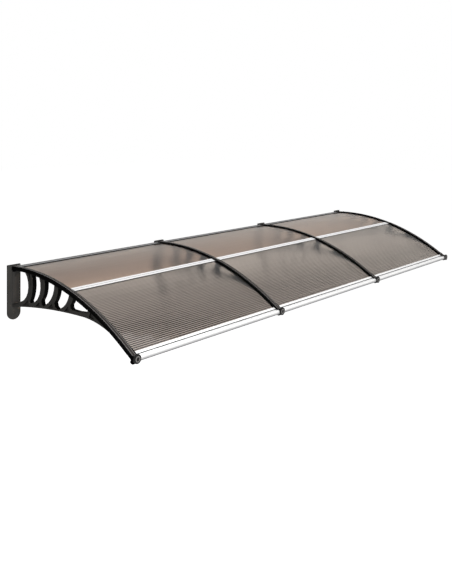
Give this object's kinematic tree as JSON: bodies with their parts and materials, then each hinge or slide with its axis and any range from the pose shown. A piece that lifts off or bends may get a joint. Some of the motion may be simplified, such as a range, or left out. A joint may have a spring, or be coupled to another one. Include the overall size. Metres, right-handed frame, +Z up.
{
  "type": "door and window canopy",
  "caption": "Shallow arched canopy of bronze tinted hollow plastic sheets in metal rails, between moulded wall brackets with ribbed webs.",
  "frame": {"origin": "on the wall, in the middle of the canopy's width, on the back of the middle rear seal, 18 mm below the plates' tops", "axes": "+X along the wall, to the right of someone facing it; +Y into the wall; +Z up"},
  "size_m": [3.043, 0.9461, 0.2883],
  "materials": {
    "black_plastic": "moulded black plastic, satin",
    "cover_plastic": "extruded dark grey plastic, satin",
    "bronze_sheet": "bronze tinted translucent twin-wall sheet",
    "aluminium": "extruded, bright satin",
    "rubber": "black rubber",
    "steel": "blackened steel"
  },
  "bodies": {
    "root": {"bracket_1": "black_plastic", "rear_cover_1": "cover_plastic", "front_cover_1": "cover_plastic", "glazing_gasket_1": "rubber", "rear_screw_1": "steel", "front_screw_1": "steel", "bracket_2": "black_plastic", "rear_cover_2": "cover_plastic", "front_cover_2": "cover_plastic", "glazing_gasket_2": "rubber", "rear_screw_2": "steel", "front_screw_2": "steel", "bracket_3": "black_plastic", "rear_cover_3": "cover_plastic", "front_cover_3": "cover_plastic", "glazing_gasket_3": "rubber", "rear_screw_3": "steel", "front_screw_3": "steel", "bracket_4": "black_plastic", "rear_cover_4": "cover_plastic", "front_cover_4": "cover_plastic", "glazing_gasket_4": "rubber", "rear_screw_4": "steel", "front_screw_4": "steel", "rear_sheet_1": "bronze_sheet", "front_sheet_1": "bronze_sheet", "rear_rail_1": "aluminium", "middle_rail_1": "aluminium", "front_bar_1": "aluminium", "wall_seal_1": "rubber", "lip_seal_1": "rubber", "rear_sheet_2": "bronze_sheet", "front_sheet_2": "bronze_sheet", "rear_rail_2": "aluminium", "middle_rail_2": "aluminium", "front_bar_2": "aluminium", "wall_seal_2": "rubber", "lip_seal_2": "rubber", "rear_sheet_3": "bronze_sheet", "front_sheet_3": "bronze_sheet", "rear_rail_3": "aluminium", "middle_rail_3": "aluminium", "front_bar_3": "aluminium", "wall_seal_3": "rubber", "lip_seal_3": "rubber", "end_trim_1": "black_plastic", "end_trim_2": "black_plastic"}
  },
  "joints": []
}
